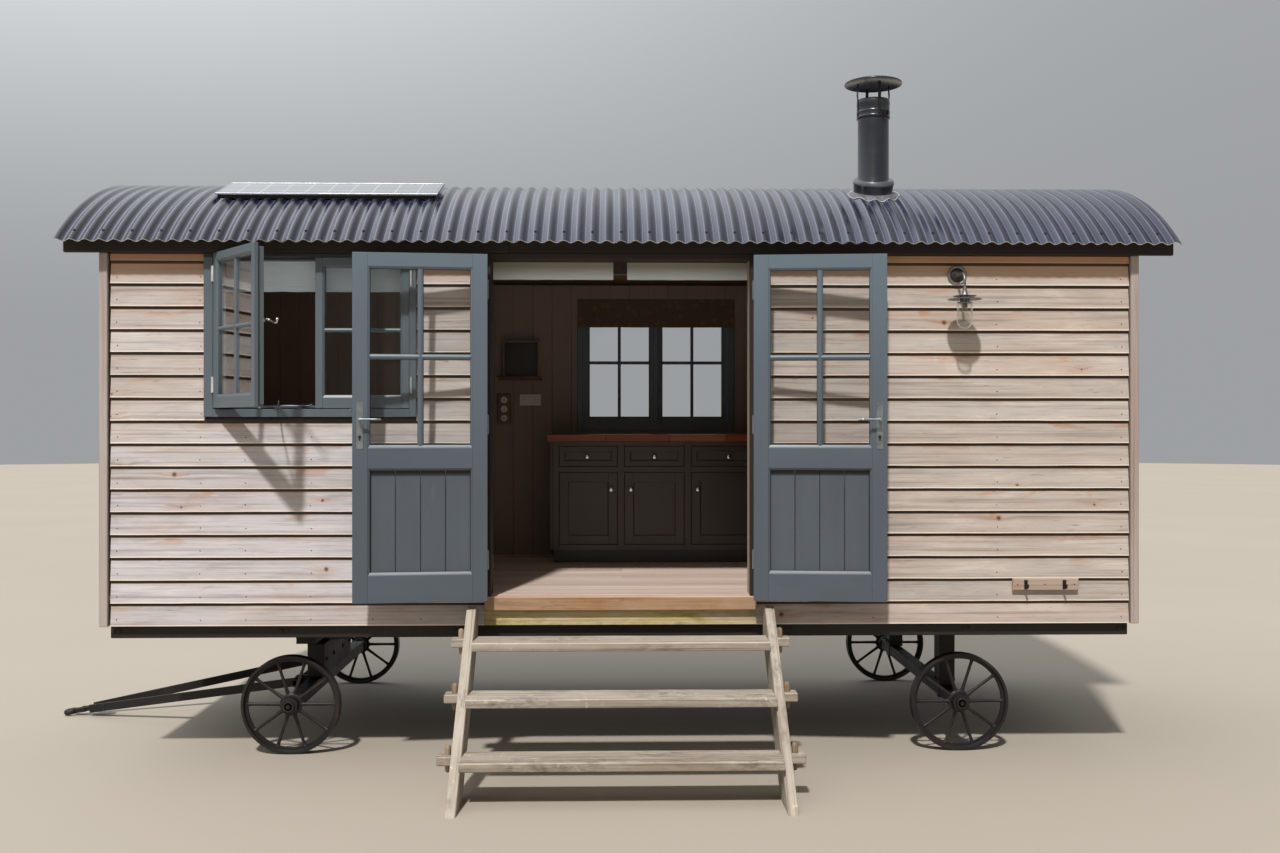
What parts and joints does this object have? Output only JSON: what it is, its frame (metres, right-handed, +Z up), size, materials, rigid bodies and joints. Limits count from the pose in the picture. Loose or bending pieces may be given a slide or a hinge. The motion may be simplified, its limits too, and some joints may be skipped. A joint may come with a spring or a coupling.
{
  "type": "shepherd's hut",
  "caption": "Boarded timber hut on spoked iron wheels with an arched corrugated roof, glazed double doors, plank steps, casement windows and a draw bar.",
  "frame": {"origin": "on the ground under the middle of the whole object's box", "axes": "+X along the hut to the right as seen from the door side, +Y from the doors towards the back wall, +Z up"},
  "size_m": [6.4764, 3.362, 3.83],
  "materials": {
    "chassis": "matt dark brown paint",
    "floor": "oiled boards",
    "lining": "eggshell paint on grooved boards",
    "boards": "bare weathered boards",
    "corner": "bare weathered timber",
    "dark_trim": "dark stained timber",
    "roof": "satin coated corrugated sheet",
    "ceiling": "painted boards",
    "flue": "satin black",
    "flashing": "dull lead grey",
    "panel": "glossy flat panel",
    "frame_timber": "bare timber",
    "sill": "bare weathered timber",
    "hinge": "satin",
    "door_paint": "satin slate blue-grey paint",
    "window_paint": "satin blue-grey paint",
    "glass": "clear",
    "kitchen_paint": "satin dark paint",
    "worktop": "oiled timber",
    "blind_cream": "plain weave",
    "blind_blue": "plain weave",
    "blind_dark": "printed weave",
    "fittings": "waxed timber and plates",
    "steps": "bare silvered timber",
    "pegs": "bare timber",
    "lamp": "galvanised",
    "jar": "clear",
    "rail": "bare timber",
    "iron": "matt black",
    "wheels": "painted black"
  },
  "bodies": {
    "hut": {"chassis_rails": "chassis", "chassis_crossbeams": "chassis", "floor_deck": "floor", "front_wall_left": "lining", "front_wall_right": "lining", "front_wall_head": "lining", "back_wall": "lining", "left_end_wall": "lining", "right_end_wall": "lining", "wall_boards": "boards", "corner_posts": "corner", "eave_fascias": "dark_trim", "verge_boards": "dark_trim", "roof_sheet": "roof", "roof_deck": "ceiling", "flue_pipe": "flue", "flue_flashing": "flashing", "flue_cowl": "flue", "roof_panel": "panel", "door_frame": "frame_timber", "door_sill": "sill", "frame_hinges": "hinge", "front_window_frame": "window_paint", "front_casements": "window_paint", "back_window_frame": "window_paint", "window_glass": "glass", "kitchen_units": "kitchen_paint", "kitchen_fronts": "kitchen_paint", "kitchen_worktop": "worktop", "door_blinds": "blind_cream", "front_blind": "blind_blue", "back_blind": "blind_dark", "wall_fittings": "fittings", "step_stringers": "steps", "step_treads": "steps", "step_pegs": "pegs", "wall_lamp": "lamp", "lamp_jar": "jar", "hook_rail": "rail", "rear_axle": "iron", "front_bolster": "iron"},
    "left_door": {"left_door_leaf": "door_paint", "left_door_glass": "glass", "left_door_hardware": "hinge"},
    "left_lever": {"left_door_lever": "hinge"},
    "right_door": {"right_door_leaf": "door_paint", "right_door_glass": "glass", "right_door_hardware": "hinge"},
    "right_lever": {"right_door_lever": "hinge"},
    "front_bogie": {"front_axle": "iron"},
    "draw_bar": {"draw_bar": "iron", "draw_bar_eye": "iron"},
    "wheel_front_near": {"wheel_front_near": "wheels"},
    "wheel_front_far": {"wheel_front_far": "wheels"},
    "wheel_rear_near": {"wheel_rear_near": "wheels"},
    "wheel_rear_far": {"wheel_rear_far": "wheels"}
  },
  "joints": [
    {"name": "left_door_hinge", "type": "hinge", "parent": "hut", "child": "left_door", "pos_m": [-0.48128, -0.778, 1.81], "axis": [0, 0, 1], "range_deg": [-2.5, 174.5]},
    {"name": "right_door_hinge", "type": "hinge", "parent": "hut", "child": "right_door", "pos_m": [0.93472, -0.778, 1.81], "axis": [0, 0, 1], "range_deg": [-174.5, 2.5]},
    {"name": "left_lever_turn", "type": "hinge", "parent": "left_door", "child": "left_lever", "pos_m": [-1.13854, -0.86942, 1.837], "axis": [0.0958, -0.9954, 0], "range_deg": [-45, 0], "stiffness_Nm_per_rad": 2, "springref_deg": 28.65},
    {"name": "right_lever_turn", "type": "hinge", "parent": "right_door", "child": "right_lever", "pos_m": [1.59199, -0.86942, 1.837], "axis": [-0.0958, -0.9954, 0], "range_deg": [0, 45], "stiffness_Nm_per_rad": 2, "springref_deg": -28.65},
    {"name": "front_steer", "type": "hinge", "parent": "hut", "child": "front_bogie", "pos_m": [-1.58678, 0.431, 0.525], "axis": [0, 0, 1], "range_deg": [-25, 25]},
    {"name": "draw_bar_lift", "type": "hinge", "parent": "front_bogie", "child": "draw_bar", "pos_m": [-1.69178, 0.431, 0.285], "axis": [0, 1, 0], "range_deg": [0, 27]},
    {"name": "wheel_front_near_spin", "type": "hinge", "parent": "front_bogie", "child": "wheel_front_near", "pos_m": [-1.58678, -0.514, 0.27], "axis": [0, 1, 0], "continuous": true},
    {"name": "wheel_front_far_spin", "type": "hinge", "parent": "front_bogie", "child": "wheel_front_far", "pos_m": [-1.58678, 1.376, 0.27], "axis": [0, 1, 0], "continuous": true},
    {"name": "wheel_rear_near_spin", "type": "hinge", "parent": "hut", "child": "wheel_rear_near", "pos_m": [2.11322, -0.514, 0.27], "axis": [0, 1, 0], "continuous": true},
    {"name": "wheel_rear_far_spin", "type": "hinge", "parent": "hut", "child": "wheel_rear_far", "pos_m": [2.11322, 1.376, 0.27], "axis": [0, 1, 0], "continuous": true}
  ]
}
